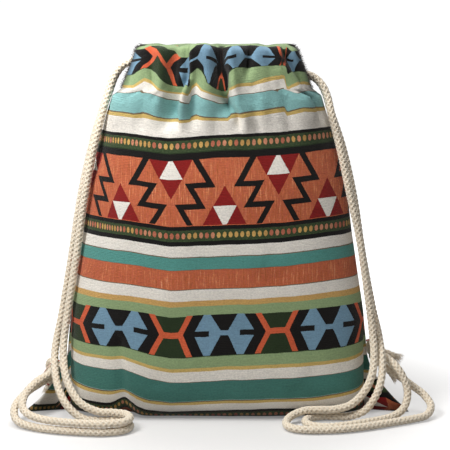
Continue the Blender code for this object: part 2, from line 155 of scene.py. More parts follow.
def run_length(points):
    steps = np.linalg.norm(np.diff(points, axis=0), axis=1)
    return np.concatenate(([0.0], np.cumsum(steps)))


def even_points(points, count):
    run = run_length(points)
    at = np.linspace(0.0, run[-1], count)
    return np.column_stack([np.interp(at, run, points[:, k]) for k in range(points.shape[1])])


def smooth_route(points, step):
    dense = curve_through(points, np.linspace(0.0, len(points) - 1, 24 * len(points)))
    return even_points(dense, round(run_length(dense)[-1] / step) + 1)


def link(obj):
    bpy.context.scene.collection.objects.link(obj)
    return obj


def mesh_object(name, verts, faces, material, smooth=True):
    mesh = bpy.data.meshes.new(name)
    mesh.from_pydata([tuple(v) for v in verts], [], faces)
    mesh.materials.append(material)
    if smooth:
        mesh.shade_smooth()
    mesh.update()
    return link(bpy.data.objects.new(name, mesh))


def ring_faces(first, rings, sides):
    """The quads between rings of points that follow each other."""
    faces = []
    for i in range(rings - 1):
        a = first + i * sides
        for k in range(sides):
            n = (k + 1) % sides
            faces.append((a + k, a + n, a + sides + n, a + sides + k))
    return faces


def thicken(obj, thickness):
    wall = obj.modifiers.new("wall", "SOLIDIFY")
    wall.thickness = thickness
    wall.offset = 0.0
    wall.use_even_offset = False


def put_attribute(obj, name, values):
    layer = obj.data.attributes.new(name, "FLOAT_VECTOR", "POINT")
    layer.data.foreach_set("vector", np.asarray(values, np.float32).ravel())


def value_noise(x, y, seed):
    """Smooth noise in -1..1 at places counted in cells."""
    rng = np.random.default_rng(seed)
    grid = rng.uniform(-1.0, 1.0, (64, 64))
    xi, yi = np.floor(x).astype(int), np.floor(y).astype(int)
    fx, fy = x - xi, y - yi
    fx, fy = fx * fx * (3 - 2 * fx), fy * fy * (3 - 2 * fy)
    a, b = grid[yi % 64, xi % 64], grid[yi % 64, (xi + 1) % 64]
    c, d = grid[(yi + 1) % 64, xi % 64], grid[(yi + 1) % 64, (xi + 1) % 64]
    return (a + (b - a) * fx) * (1 - fy) + (c + (d - c) * fx) * fy


# Shader tools.
class Maths:
    """Builds a number out of a shader's maths nodes."""

    def __init__(self, tree):
        self.tree = tree

    def put(self, socket, value):
        """Sets a number or a colour on the socket, or links a node's output to it."""
        if isinstance(value, (int, float)):
            socket.default_value = value
        elif isinstance(value, tuple):
            socket.default_value = (*value, 1.0)
        else:
            self.tree.links.new(value, socket)

    def do(self, operation, *inputs):
        made = self.tree.nodes.new("ShaderNodeMath")
        made.operation = operation
        for socket, value in zip(made.inputs, inputs):
            self.put(socket, value)
        return made.outputs[0]

    def add(self, a, b):
        return self.do("ADD", a, b)

    def sub(self, a, b):
        return self.do("SUBTRACT", a, b)

    def mul(self, a, b):
        return self.do("MULTIPLY", a, b)

    def less(self, a, b):
        return self.do("LESS_THAN", a, b)

    def within(self, a, low, high):
        return self.do("COMPARE", a, (low + high) / 2.0, (high - low) / 2.0)

    def linear(self, a, factor, offset):
        return self.do("MULTIPLY_ADD", a, factor, offset)

    def both(self, *masks):
        out = masks[0]
        for mask in masks[1:]:
            out = self.mul(out, mask)
        return out

    def either(self, *masks):
        out = masks[0]
        for mask in masks[1:]:
            out = self.do("MAXIMUM", out, mask)
        return out

    def noise(self, x, y, detail=2.0, rough=0.5, z=0.0):
        place = self.tree.nodes.new("ShaderNodeCombineXYZ")
        for socket, value in zip(place.inputs, (x, y, z)):
            self.put(socket, value)
        made = self.tree.nodes.new("ShaderNodeTexNoise")
        made.noise_dimensions = "3D"
        for name, value in (("Vector", place.outputs[0]), ("Scale", 1.0), ("Detail", detail), ("Roughness", rough)):
            self.put(made.inputs[name], value)
        return made.outputs["Fac"]

    def mix(self, mask, first, second, kind="MIX"):
        made = self.tree.nodes.new("ShaderNodeMix")
        made.data_type = "RGBA"
        made.blend_type = kind
        for number, value in ((0, mask), (6, first), (7, second)):
            self.put(made.inputs[number], value)
        return made.outputs[2]

    def ramp(self, value, stops, how="CONSTANT"):
        made = self.tree.nodes.new("ShaderNodeValToRGB")
        made.color_ramp.interpolation = how
        points = made.color_ramp.elements
        while len(points) > 1:
            points.remove(points[-1])
        points[0].position = stops[0][0]
        points[0].color = (*stops[0][1], 1.0)
        for position, value_at in stops[1:]:
            points.new(position).color = (*value_at, 1.0)
        self.put(made.inputs[0], value)
        return made.outputs[0]

    def attribute(self, name):
        made = self.tree.nodes.new("ShaderNodeAttribute")
        made.attribute_name = name
        parts = self.tree.nodes.new("ShaderNodeSeparateXYZ")
        self.put(parts.inputs[0], made.outputs["Vector"])
        return parts.outputs


def srgb(r, g, b):
    def one(c):
        c = c / 255.0
        return c / 12.92 if c <= 0.04045 else ((c + 0.055) / 1.055) ** 2.4
    return (one(r), one(g), one(b))


def new_material(name, roughness, sheen=0.0):
    mat = bpy.data.materials.new(name)
    mat.use_nodes = True
    shader = mat.node_tree.nodes["Principled BSDF"]
    for socket, value in (
        ("Roughness", roughness), ("Specular IOR Level", 0.2), ("Sheen Weight", sheen), ("Sheen Roughness", 0.5),
    ):
        shader.inputs[socket].default_value = value
    return mat, shader, Maths(mat.node_tree)


def add_bump(m, shader, height, strength, distance):
    bump = m.tree.nodes.new("ShaderNodeBump")
    for name, value in (("Strength", strength), ("Distance", distance), ("Height", height)):
        m.put(bump.inputs[name], value)
    m.put(shader.inputs["Normal"], bump.outputs[0])


# The canvas material.
WHITE = srgb(236, 230, 220)
# One teal in three tones: painted lighter in the top band as painted sheen, and darker in the lowest band as painted
# shade. TEAL is the middle band.
TEAL_WITH_PAINTED_SHEEN = srgb(138, 188, 186)
TEAL = srgb(86, 150, 141)
TEAL_WITH_PAINTED_SHADE = srgb(68, 120, 110)
PALE_GREEN = srgb(146, 168, 122)
YELLOW = srgb(206, 176, 104)
OCHRE = srgb(206, 164, 98)
TERRACOTTA = srgb(206, 104, 66)
BLACK = srgb(15, 12, 10)
DARK_GREEN = srgb(38, 53, 28)
RED = srgb(136, 24, 22)
BLUE = srgb(120, 155, 178)
ORANGE = srgb(214, 98, 62)
LINE = srgb(116, 100, 76)
REPEAT = 284.0

# Where each band of the woven stripes starts, in millimetres down from the top fold.
STRIPES = (
    (0.0, PALE_GREEN), (8.0, DARK_GREEN), (47.0, PALE_GREEN), (57.0, YELLOW), (60.0, WHITE),
    (70.7, LINE), (71.5, TEAL_WITH_PAINTED_SHEEN), (90.6, LINE), (91.3, YELLOW), (95.0, WHITE), (111.0, BLACK),
    (115.0, DARK_GREEN), (126.5, BLACK), (134.0, TERRACOTTA), (198.0, BLACK), (202.5, DARK_GREEN),
    (214.0, BLACK), (218.0, WHITE), (229.6, LINE), (230.4, TEAL), (242.6, LINE), (243.4, TERRACOTTA),
    (263.6, LINE), (264.3, WHITE), (277.0, OCHRE), (282.0, PALE_GREEN),
)
KILIM = (134.0, 198.0)
HEXAGONS = (8.0, 47.0)
BEADS = ((114.0, 126.5), (202.5, 214.0))
CLOSE_BEADS = -75.0         # the beads sit closer together to the left of this
MOTIF_HALF = 55.0           # half the spacing of the motifs
KILIM_HALF = 54.0           # the same in the motif's own units
KILIM_HIGH = 66.5


def canvas_material():
    mat, shader, m = new_material("canvas", 0.92, 0.15)
    u, v, dark = m.attribute("cloth")
    wander = m.linear(m.noise(m.mul(u, 0.05), m.mul(v, 0.05), 1.0), 1.2, -0.6)
    ragged = m.linear(m.noise(m.mul(u, 1.1), m.mul(v, 0.6), 1.0, z=4.0), 0.7, -0.35)
    v = m.add(v, m.add(wander, ragged))
    u = m.add(u, m.linear(m.noise(m.mul(u, 0.4), m.mul(v, 0.9), 1.0, z=9.0), 0.8, -0.4))
    w = m.do("MODULO", m.do("ABSOLUTE", v), REPEAT)
    ground = m.ramp(m.mul(w, 1.0 / REPEAT), [(at / REPEAT, c) for at, c in STRIPES])

    # Stepped band, in its motif's own units: x from the motif's middle, y down from the band's top.
    x = m.mul(m.do("PINGPONG", m.add(u, MOTIF_HALF), MOTIF_HALF), KILIM_HALF / MOTIF_HALF)
    y = m.linear(w, KILIM_HIGH / (KILIM[1] - KILIM[0]), -KILIM[0] * KILIM_HIGH / (KILIM[1] - KILIM[0]))
    q = m.add(x, m.mul(y, -0.565))
    steps = m.either(
        m.both(m.within(q, 21.9, 28.6), m.less(y, 29.0)),
        m.both(m.within(q, 0.7, 28.6), m.within(y, 23.4, 29.0)),
        m.both(m.within(q, 0.7, 6.9), m.within(y, 23.4, 50.0)),
        m.both(m.within(q, -21.3, 6.9), m.within(y, 44.4, 50.0)),
        m.both(m.within(q, -21.3, -15.1), m.less(44.4, y)),
    )

    def triangles(along, down):
        white = m.both(m.less(along, m.linear(down, 0.53, 1.9)), m.less(down, 18.8))
        side = m.both(m.less(along, m.linear(down, -0.52, 22.0)), m.less(down, 18.8))
        under = m.both(m.less(along, m.linear(down, -0.575, 22.4)), m.less(18.8, down), m.less(down, 39.0))
        return white, m.either(side, under)

    white_top, red_top = triangles(x, y)
    white_low, red_low = triangles(m.sub(KILIM_HALF, x), m.sub(KILIM_HIGH, y))
    in_kilim = m.within(w, *KILIM)
    threads = m.noise(m.mul(u, 0.75), m.mul(v, 0.045), 3.0, 0.75, 2.0)
    warp = m.ramp(threads, [
        (0.34, srgb(164, 82, 52)), (0.44, srgb(200, 106, 64)), (0.52, srgb(186, 92, 70)),
        (0.58, srgb(208, 118, 70)), (0.68, srgb(222, 156, 116)),
    ], "LINEAR")
    # The top teal band, where it comes round again low on the bag, is painted darker: painted shade.
    second_time = m.both(m.less(200.0, v), m.within(w, 71.5, 90.6))
    colour = m.mix(second_time, ground, TEAL_WITH_PAINTED_SHADE)
    orange_ground = m.either(in_kilim, m.within(w, 243.4, 263.6))
    colour = m.mix(orange_ground, colour, warp)
    colour = m.mix(m.both(in_kilim, m.either(red_top, red_low)), colour, RED)
    colour = m.mix(m.both(in_kilim, m.either(white_top, white_low)), colour, WHITE)
    colour = m.mix(m.both(in_kilim, steps), colour, BLACK)

    # Hexagon band, in the same way: the uppermost one is half a repeat out of step with the next.
    first = m.less(v, 100.0)
    shift = m.add(u, m.mul(first, MOTIF_HALF))
    hx = m.mul(m.do("PINGPONG", m.add(shift, m.linear(first, 7.0, 1.0)), MOTIF_HALF), 54.0 / MOTIF_HALF)
    middle = (HEXAGONS[0] + HEXAGONS[1]) / 2.0
    hy = m.mul(m.do("ABSOLUTE", m.sub(w, middle)), 18.8 / (HEXAGONS[1] - middle))
    in_hex = m.within(w, *HEXAGONS)
    inner = m.add(hx, m.mul(hy, 0.545))
    hexagon = m.less(inner, 42.0)
    chevron = m.within(inner, 42.0, 48.0)
    bar = m.both(m.less(47.0, inner), m.less(hy, 2.7))
    blue_half = m.linear(hy, -0.6, 14.6)
    blue = m.both(
        m.less(m.do("ABSOLUTE", m.sub(hx, 17.0)), m.do("MINIMUM", blue_half, 13.7)),
        m.do("SUBTRACT", 1.0, m.both(m.less(hy, 2.6), m.less(15.6, hx))),
    )
    bridge = m.both(m.less(hx, 5.0), m.less(hy, 2.3))
    colour = m.mix(m.both(in_hex, hexagon), colour, BLACK)
    colour = m.mix(m.both(in_hex, m.either(chevron, bar)), colour, ORANGE)
    colour = m.mix(m.both(in_hex, hexagon, m.either(blue, bridge)), colour, BLUE)

    # Bead bands: the beads sit closer together towards the left.
    mottled = m.both(m.either(m.within(w, 115.0, 126.5), m.within(w, 202.5, 214.0)), m.linear(
        m.noise(m.mul(u, 0.5), m.mul(v, 1.2), 2.0, 0.6, 11.0), 1.6, -0.5))
    colour = m.mix(mottled, colour, srgb(84, 102, 66))
    closer = m.less(u, CLOSE_BEADS)
    for low, high in BEADS:
        middle_row = (low + high) / 2.0
        for pitch, chosen in ((-CLOSE_BEADS / 16.5, closer), (-CLOSE_BEADS / 12.5, m.sub(1.0, closer))):
            off = m.mul(m.do("PINGPONG", u, pitch / 2.0), 2.75 / pitch)
            rise = m.linear(w, 1.0 / 3.3, -middle_row / 3.3)
            oval = m.less(m.add(m.mul(off, off), m.mul(rise, rise)), 0.82)
            which = m.do("FLOOR", m.linear(u, 1.0 / pitch, 0.5))
            tone = m.noise(m.mul(which, 0.37), low, 1.0, 0.5)
            bead = m.ramp(m.add(tone, m.mul(closer, 0.06)), [
                (0.30, srgb(184, 106, 80)), (0.44, srgb(200, 134, 102)), (0.52, srgb(194, 150, 86)),
                (0.60, srgb(206, 164, 94)), (0.72, srgb(188, 112, 96)),
            ])
            colour = m.mix(m.both(m.within(w, low, high), oval, chosen), colour, bead)

    # Threads: long pale and dark slubs along the weft, small flecks of the threads below.
    slub = m.noise(m.mul(u, 0.12), m.mul(v, 0.85), 3.0, 0.65, 1.0)
    fleck = m.noise(m.mul(u, 0.50), m.mul(v, 0.70), 3.0, 0.75, 6.0)
    patch = m.noise(m.mul(u, 0.02), m.mul(v, 0.03), 2.0, 0.5, 3.0)
    tone = m.add(m.linear(slub, 0.42, 0.79), m.linear(fleck, 0.86, -0.43))
    tone = m.add(tone, m.linear(patch, 0.16, -0.08))
    # The cloth attribute's third value darkens the colour: painted contact shadow by the floor, painted shade inside
    # the channel and in the deepest folds, and the darker slit edges.
    tone = m.mul(tone, m.sub(1.0, dark))
    grey = mat.node_tree.nodes.new("ShaderNodeCombineColor")
    for socket in grey.inputs:
        m.put(socket, tone)
    colour = m.mix(1.0, colour, grey.outputs[0], "MULTIPLY")
    m.put(shader.inputs["Base Color"], colour)

    ribs = m.do("SINE", m.mul(v, 2.0 * math.pi / 1.5))
    ends = m.do("SINE", m.mul(u, 2.0 * math.pi / 1.3))
    height = m.add(m.mul(m.add(ribs, m.mul(ends, 0.6)), 0.22), m.add(m.mul(slub, 1.2), m.mul(fleck, 1.3)))
    add_bump(m, shader, height, 0.75, 0.0007)
    return mat


# The canvas itself.
COLUMNS = 160               # across each panel
BODY_COUNT = 104            # rows down the body
CHANNEL_OUT = 16            # rows up the outside of the channel
FLAP_COUNT = 9              # rows down its inside
CREST_TURNS = 9             # rows over its crest
CREST_RIPPLE = 0.0010

# Folds of the gathered front: x and z along each fold, how deep, and how wide to its left and right, all in
# millimetres.
FRONT_FOLDS = metres((
    (((-87, 392), (-88, 372), (-90, 350)), 3, 3, 4),
    (((-66, 392), (-67.2, 372), (-65, 350)), 6, 4, 3.8),
    (((-40, 392), (-41, 376), (-43, 354), (-49, 330), (-52, 312)), 8, 7.5, 6),
    (((-27.5, 394), (-27.5, 357), (-35.5, 342), (-40, 326), (-39.5, 318)), 15, 8, 2),
    (((3.5, 392), (5.5, 365), (8, 342), (12.5, 330)), 14, 8.5, 4),
    (((11, 352), (15, 331), (22.5, 320), (23.8, 317)), 10.5, 6.5, 2),
    (((31.8, 392), (31.6, 378), (30, 366)), 8.5, 4, 4.5),
    (((64, 390), (71.2, 373), (83.2, 354), (93.8, 339), (105, 320)), 12, 2, 9),
    (((85, 378), (86, 352)), 4, 4, 4),
    (((-22.5, 352), (-24, 336), (-25.5, 318)), 6.2, 4.2, 7.5),
    (((3, 330), (1, 312), (0, 298)), 3, 8, 12),
    (((-74, 350), (-76, 330), (-77, 312)), 3.6, 6, 4.5),
    (((35, 340), (38, 322), (42, 300)), 3, 9, 5),
    (((66, 345), (70, 325), (76, 302)), 3.4, 6, 10),
    (((-89, 360), (-93, 330), (-96, 305)), 2.6, 6, 6),
))
ROPE_ROOM = 0.0020          # how far a fold may sink towards the ropes in the channel
# Ridges beside the deepest folds, listed in the same way as the folds.
FRONT_RIDGES = metres((
    (((-25, 392), (-24.5, 360), (-32, 342), (-36.5, 326), (-37, 318)), 4.2, 1.6, 6),
    (((11, 392), (12.5, 365), (14.5, 345), (20, 330), (26.2, 317)), 4.5, 1.6, 7),
    (((60, 390), (66, 373), (78, 354), (88.5, 339), (98, 322)), 4, 7, 1.6),
    (((-58, 390), (-56, 372), (-57, 350), (-60, 330)), 2.6, 5, 5),
))
# Creases and soft hollows lower down.
BODY_FOLDS = metres((
    (((-101, 78), (-99, 50), (-97, 24)), 5, 8, 6),
    (((62, 150), (86, 100), (106, 50)), 2, 16, 16),
    (((-120, 230), (-115, 190), (-118, 150)), 1.6, 14, 14),
    (((-60, 40), (10, 34), (80, 40)), 1.4, 8, 8),
))
# How far down the print runs against how far down the cloth has been followed.
PRINT_RUN = (
    -60, 0, 38, 47.5, 50.7, 60.2, 81.4, 85.2, 101.5, 125.8, 194.2, 216, 242, 275, 300, 380, 387.5, 900,
)
PRINT_AT = (-60, 0, 47, 57, 60, 71, 91, 94.5, 109, 131.5, 195, 216.5, 242, 276, 299, 379, 395.5, 908)
# How far the bands below the gathers hang below level: x, millimetres.
BAND_X = (-0.115, -0.05, 0, 0.115)
BAND_DROP = (4, 2.5, 0.5, 0)
# How far the bands sag across the front: x, then high up, low down and at the bottom edge, in millimetres.
SAG_X = metres((-150, -88.5, -47.7, 7.4, 64.5, 105, 150))
SAG_HIGH = (0, 2, 6.5, 4, 3.5, 1.5, 0.5)
SAG_LOW = (0, 0, 4.5, 1, 0, 0, 0)
SAG_EDGE = (3, 4, 6.5, 3, 2, 2, 1)


def sag_at(x, z):
    high, low, edge = (np.interp(x, SAG_X, row) for row in (SAG_HIGH, SAG_LOW, SAG_EDGE))
    total = low + (high - low) * smooth_step(0.090, 0.160, z) + (edge - low) * (1.0 - smooth_step(0.018, 0.050, z))
    return float(total * (1.0 - smooth_step(0.312, 0.340, z)))


# Where across the print each place of the gathered front is: x, then how far across the print below the
# channel, in its middle and at its crest. A jump is cloth that a fold swallows.
GATHER_X = metres((
    -105, -91.3, -75, -60, -50.6, -39.4, -29, -26.2, -20.1, -0.8, 2.3, 4.3, 5.7, 9.4, 28.8, 34.9, 60.3, 65.5,
    66.9, 68.4, 71.5, 84.7, 90, 105,
))
GATHER_LOW = (
    -172, -158, -134, -118.6, -109, -94.6, -76, -63, -60, -31.4, -17.1, -8.1, -1.8, 15.5, 44.1, 50.2, 78.8, 89.9,
    92.9, 96.1, 125.7, 154.3, 161, 180,
)
GATHER_MIDDLE = (
    -172, -158, -138, -124, -109, -97, -80, -63, -60, -33, -32, -31, 15, 17, 44.1, 50.2, 77, 79.5, 124.5, 125.5,
    128, 154.3, 161, 180,
)
GATHER_TOP = (
    -172, -158, -142, -126, -110, -101, -86, -63, -60, -33, -32, -31, 15, 17, 44.1, 50.2, 78.8, 89.9, 92.9, 96.1,
    125.7, 154.3, 161, 180,
)
CHANNEL_Z = (0.352, 0.368, 0.380)
CREASE_SHARE = 0.4          # how much of the folds' extra length the print follows
PRINT_SHIFT = -8.0          # how far the print sits off the middle
WIDTH_Z = 0.235             # the height at which the print is as wide as the cloth
WANDER_SPAN = 41            # columns over which the folds' length is evened out below the gathers
LEFT_TURN = 16.0            # how much more of the print shows where the left side turns away
# How far out of level the print is along the gathered front: x, then the upper edge, the middle and the
# lower edge of the top hexagon band, in millimetres.
EDGE_X = metres((
    -105, -85, -74, -67.5, -60, -56, -50.6, -43, -37, -28, -26.2, -20.1, -15, -8, -1, 1.6, 5, 11.5, 13, 20, 33,
    46, 60.3, 69, 72, 76.5, 83.7, 88.8, 105,
))
EDGE_TOP = (
    0, -3.7, -3, 1, 7.5, 2, -3.2, -3.8, -12.4, -12.4, -8, -0.8, 1.4, 1.2, 0.5, 0, -0.8, 1, 1, 3.6, 2, 2, 1, -3.7,
    -1.5, -6, -3.7, -2, 0,
)
EDGE_MIDDLE = (
    0, 3, 8, 7, 3.4, -2, -7, -6, -9.3, -9, 3, 7.2, 6.7, 4.5, 0, -7, -11, 4.5, 5.7, 8.2, 9, 10, 11.5, 11, 4, 5, 7,
    5, 0,
)
EDGE_LOW = (
    0, -1, 6.2, 3, -2.7, -5.5, -8.2, -10, -11.3, -14.5, -3, 1, -5, -9, -14, -15.6, -17.6, -18.5, -5, 0, 2, 4, 7,
    8, -4.5, -1, 2, 4.1, 0,
)
# Painted shadow in the valleys where a fold swallows part of the print: x, half width, and the heights between which
# it is painted dark.
PAINTED_FOLD_SHADOWS = ((0.005, 0.0042, 0.358, 0.386), (0.0662, 0.004, 0.369, 0.376))


def painted_fold_shadow(x, z):
    shade = 0.0
    for centre, half, low, high in PAINTED_FOLD_SHADOWS:
        near = max(0.0, 1.0 - (abs(x - centre) / half) ** 4)
        inside = smooth_step(low, low + 0.004, z) * (1.0 - smooth_step(high, high + 0.006, z))
        shade = max(shade, near * float(inside))
    return 0.96 * shade


# How dark the cloth is painted: painted contact shadow beside the floor, painted shade inside the channel, and the
# darker edges of the slits.
FLOOR_SHADE = 0.6
INSIDE_SHADE = 0.25
SLIT_SHADE = 0.85
SLIT_FADE = 0.11            # less of it for each column
SLIT_COLUMNS = 7
# How far the lowest bands hang below level: x, millimetres.
LOW_X = metres((-150, -110, -97, -85, -70, -20, 50, 100, 150))
LOW_DROP = (0, 0, -1, 2, 5, 6.5, 6.5, 7.5, 7)
# The left corner shows more of the print than the right one: x, millimetres.
EAR_X = (-0.215, -0.172, -0.158, 0.2)
EAR_DROP = (37, 38, 0, 0)


def rounded_section(row):
    seam_x, forward, seam_z, out, centre_z, boxy = row
    body = min(1.0, BODY_HALF / seam_x)
    turn = np.radians(np.linspace(90.0, 0.0, OUTLINE_STEPS))
    share = np.sin(turn) ** (2.0 / boxy) * body
    swell = np.cos(turn) ** (2.0 / boxy)
    if body < 1.0:
        flat = np.linspace(1.0, body, OUTLINE_STEPS // 3, endpoint=False)
        share = np.concatenate([flat, share])
        swell = np.concatenate([np.zeros(len(flat)), swell])
    past = np.clip((share - body) / max(1.0 - body, 1e-6), 0.0, 1.0)
    layer = EAR_HALF_THICK * smooth_step(0.88 * body, body, share) * (1.0 - past ** 6) ** 0.5
    if body == 1.0:
        layer = 0.0 * layer
    depth = np.maximum(out * swell, layer * (out > 0.0))
    lean = -forward * share ** 3
    half = np.column_stack([seam_x * share, lean, depth, seam_z + (centre_z - seam_z) * swell])
    left = half * np.array([-1.0, 1.0, 1.0, 1.0])
    return np.vstack([left, half[-2::-1]])


def gathered_section(half_width, half_depth, end_radius, end_angle, z):
    straight = half_width - end_radius
    angles = np.radians(np.linspace(end_angle, 90.0, OUTLINE_STEPS // 2))
    ends = np.column_stack([straight + end_radius * np.cos(angles), end_radius * np.sin(angles)])
    xs = np.linspace(straight, 0.0, OUTLINE_STEPS // 2)[1:]
    crown = end_radius + (half_depth - end_radius) * (0.5 + 0.5 * np.cos(math.pi * xs / straight))
    half = np.vstack([ends, np.column_stack([xs, crown])])
    half = np.column_stack([half[:, 0], np.zeros(len(half)), half[:, 1], np.full(len(half), z)])
    left = half * np.array([-1.0, 1.0, 1.0, 1.0])
    return np.vstack([left, half[-2::-1]])


def outline_at(z):
    share = (z - PANEL_ROWS[0][2]) / (HEM_TOP - PANEL_ROWS[0][2])
    return [low + (high - low) * share for low, high in zip(SLIT_OUTLINE, TOP_OUTLINE)]


def fold_depth(folds, x, z):
    """How far the listed folds sink at points of a panel."""
    total = np.zeros(len(x))
    for path, deep, left, right in folds:
        zs = np.array([p[1] for p in path])[::-1]
        xs = np.array([p[0] for p in path])[::-1]
        centre = np.interp(z, zs, xs)
        ends = smooth_step(zs[0] - 0.016, zs[0] + 0.004, z) * (1.0 - smooth_step(zs[-1] + 0.004, zs[-1] + 0.02, z))
        off = x - centre
        width = np.where(off < 0.0, left, right)
        total += deep * ends * np.exp(-(off / width) ** 2)
    return total


def back_pleats(across, z):
    near = math.exp(-((z - 0.385) / 0.036) ** 2) if z < 0.385 else 1.0
    wide = math.exp(-((z - 0.350) / 0.045) ** 2)
    fine = 0.5 + 0.5 * np.cos(2.0 * math.pi * (7.0 * across + 0.2 + 0.35 * np.sin(9.0 * across)))
    broad = 0.5 + 0.5 * np.cos(2.0 * math.pi * (4.0 * across + 0.1))
    return (0.0060 * near * fine + 0.0036 * wide * broad) * np.sin(math.pi * across) ** 0.4


def front_swell(across, line):
    x, z = line[:, 0], line[:, 3]
    ends = np.sin(math.pi * across) ** 0.5
    top = smooth_step(0.285, 0.345, z)
    base = 0.0112 * top * (0.85 + 0.15 * value_noise(x * 90.0, z * 12.0, 3))
    sink = fold_depth(FRONT_FOLDS, x, z) + fold_depth(BODY_FOLDS, x, z) - fold_depth(FRONT_RIDGES, x, z)
    loose = 0.0013 * value_noise(x * 26.0 + 5.0, z * 20.0, 5) + 0.0006 * value_noise(x * 70.0, z * 40.0, 8)
    net = (base - sink + loose) * ends
    return np.maximum(net, -ROPE_ROOM - 0.02 * (1.0 - smooth_step(0.328, 0.345, z)))


def back_swell(across, line):
    x, z = line[:, 0], line[:, 3]
    level = float(np.median(z))
    loose = 0.0013 * value_noise(x * 24.0 + 9.0, z * 19.0, 11) + 0.0005 * value_noise(x * 70.0, z * 40.0, 12)
    return back_pleats(across, level) + loose * np.sin(math.pi * across) ** 0.5


NOTCH_X = -0.0965
NOTCH_WIDE = 0.0105
NOTCH_RISE = 0.0100


def lifted(points):
    """The front's bottom edge drawn up at the crease near the left corner."""
    near = np.exp(-((points[:, 0] - NOTCH_X) / NOTCH_WIDE) ** 2)
    low = 1.0 - smooth_step(0.004, 0.040, points[:, 2])
    front = smooth_step(0.020, 0.045, -points[:, 1])
    points[:, 2] += NOTCH_RISE * near * low * front
    return points


def shaped_row(outline, side, swell):
    line = even_points(outline, OUTLINE_STEPS)
    across = np.linspace(0.0, 1.0, OUTLINE_STEPS)
    tangent = np.gradient(line[:, [0, 2]], axis=0)
    tangent /= np.linalg.norm(tangent, axis=1)[:, None]
    push = swell(across, line)
    x = line[:, 0] - tangent[:, 1] * push
    y = line[:, 2] + tangent[:, 0] * push
    world = np.column_stack([x, line[:, 1] - side * y, line[:, 3]])
    return even_points(world, COLUMNS + 1)


def body_rows(side):
    swell = front_swell if side > 0 else back_swell
    rows = []
    for row in curve_through(PANEL_ROWS, np.linspace(0.0, len(PANEL_ROWS) - 1, BODY_COUNT + 1)):
        z = row[2]
        section = even_points(rounded_section(row), OUTLINE_STEPS)
        gather = smooth_step(GATHER_START_Z, PANEL_ROWS[0][2], z)
        if gather > 0.0:
            top = even_points(gathered_section(*outline_at(z), 0.0, z), OUTLINE_STEPS)
            section = section + (top - section) * gather
        points = shaped_row(section, side, swell)
        points[:, 2] = CLOTH_THICK / 2 + np.maximum(0.0, points[:, 2] - CLOTH_THICK / 2 - REST_SAG)
        rows.append(lifted(points) if side > 0 else points)
    rows[-1][:, 1] = -PANEL_ROWS[-1][1] * (rows[-1][:, 0] / PANEL_ROWS[-1][0]) ** 2
    return rows


# How the top edge rises and falls along the front, in millimetres.
CREST_X = metres((-87, -81, -68, -50, -37.5, -12, 8.4, 34, 52, 70, 81, 87))
CREST_RISE = metres((-2.6, -2, 1, 0.2, -1.8, 3.2, -1.6, 2, -1.6, 1.6, -2.2, -2.6))


def channel_rows(side):
    swell = front_swell if side > 0 else back_swell
    low, high = HEM_STITCH_Z, HEM_TOP - CHANNEL_HALF
    outer = []
    for z in np.linspace(low, high, CHANNEL_OUT):
        outer.append(shaped_row(gathered_section(*outline_at(z), SLIT_ANGLE, z), side, swell))
    ropes = (TURN_CENTRE + TURN_RADIUS, TURN_RADIUS + CHANNEL_CROWN, TURN_RADIUS)

    def inner_swell(across, line):
        return -0.35 * swell(across, line)

    inner = []
    for z in np.linspace(high, low, FLAP_COUNT):
        clear = [size - FLAP_CLEAR for size in ropes]
        row = shaped_row(gathered_section(*clear, SLIT_ANGLE, z), side, inner_swell)
        if z < low + 0.003:
            close = [size - CLOTH_THICK - 0.0006 for size in outline_at(z)]
            row = shaped_row(gathered_section(*close, SLIT_ANGLE, z), side, swell)
        inner.append(row)
    crest = []
    for turn in np.radians(np.arange(1, CREST_TURNS + 1) * 180.0 / (CREST_TURNS + 1)):
        share = 0.5 - 0.5 * math.cos(turn)
        row = outer[-1] + (inner[0] - outer[-1]) * share
        row[:, 2] = high + CHANNEL_HALF * math.sin(turn)
        ripple = value_noise(row[:, 0] * 95.0, np.full(len(row), 3.0 + side), 21)
        row[:, 2] += CREST_RIPPLE * ripple * math.sin(turn)
        if side > 0:
            row[:, 2] += np.interp(row[:, 0], CREST_X, CREST_RISE) * math.sin(turn)
        crest.append(row)
    return outer, crest, inner


def smoothed(rows, span):
    """Each row with its moving average over a number of columns."""
    padded = np.pad(rows, ((0, 0), (span // 2, span // 2)), mode="edge")
    return np.array([np.convolve(row, np.ones(span) / span, mode="valid") for row in padded])


def bottom_share(z):
    return 1.0 - float(smooth_step(0.045, 0.110, z))


def front_print(x, z, print_x, level, wander, calm):
    """How far across and down the print is at a place of the front, and how much painted shade darkens the cloth
    there.
    """
    creased = float(smooth_step(0.330, 0.352, z))
    down = level + CREASE_SHARE * (calm + (wander - calm) * creased)
    edges = [np.interp(x, EDGE_X, row) for row in (EDGE_LOW, EDGE_MIDDLE, EDGE_TOP)]
    rise = float(np.interp(z, CHANNEL_Z, edges) * smooth_step(0.295, 0.352, z) ** 1.2 * smooth_step(0.0, 9.0, level))
    band = float(smooth_step(0.200, 0.270, z) * (1.0 - smooth_step(0.322, 0.345, z)))
    down += rise - bottom_share(z) * np.interp(x, LOW_X, LOW_DROP) - band * np.interp(x, BAND_X, BAND_DROP)
    down -= sag_at(x, z)
    # Painted contact shadow near the floor, and painted shadow in the deepest folds.
    shade = max(FLOOR_SHADE * (1.0 - float(smooth_step(0.003, 0.017, z))), painted_fold_shadow(x, z))
    print_x -= LEFT_TURN * float(smooth_step(0.094, 0.135, -x) * smooth_step(0.120, 0.180, z))
    gather = [np.interp(x, GATHER_X, row) for row in (GATHER_LOW, GATHER_MIDDLE, GATHER_TOP)]
    print_x += (np.interp(z, CHANNEL_Z, gather) - print_x) * float(smooth_step(0.318, 0.340, z))
    return print_x, down, shade


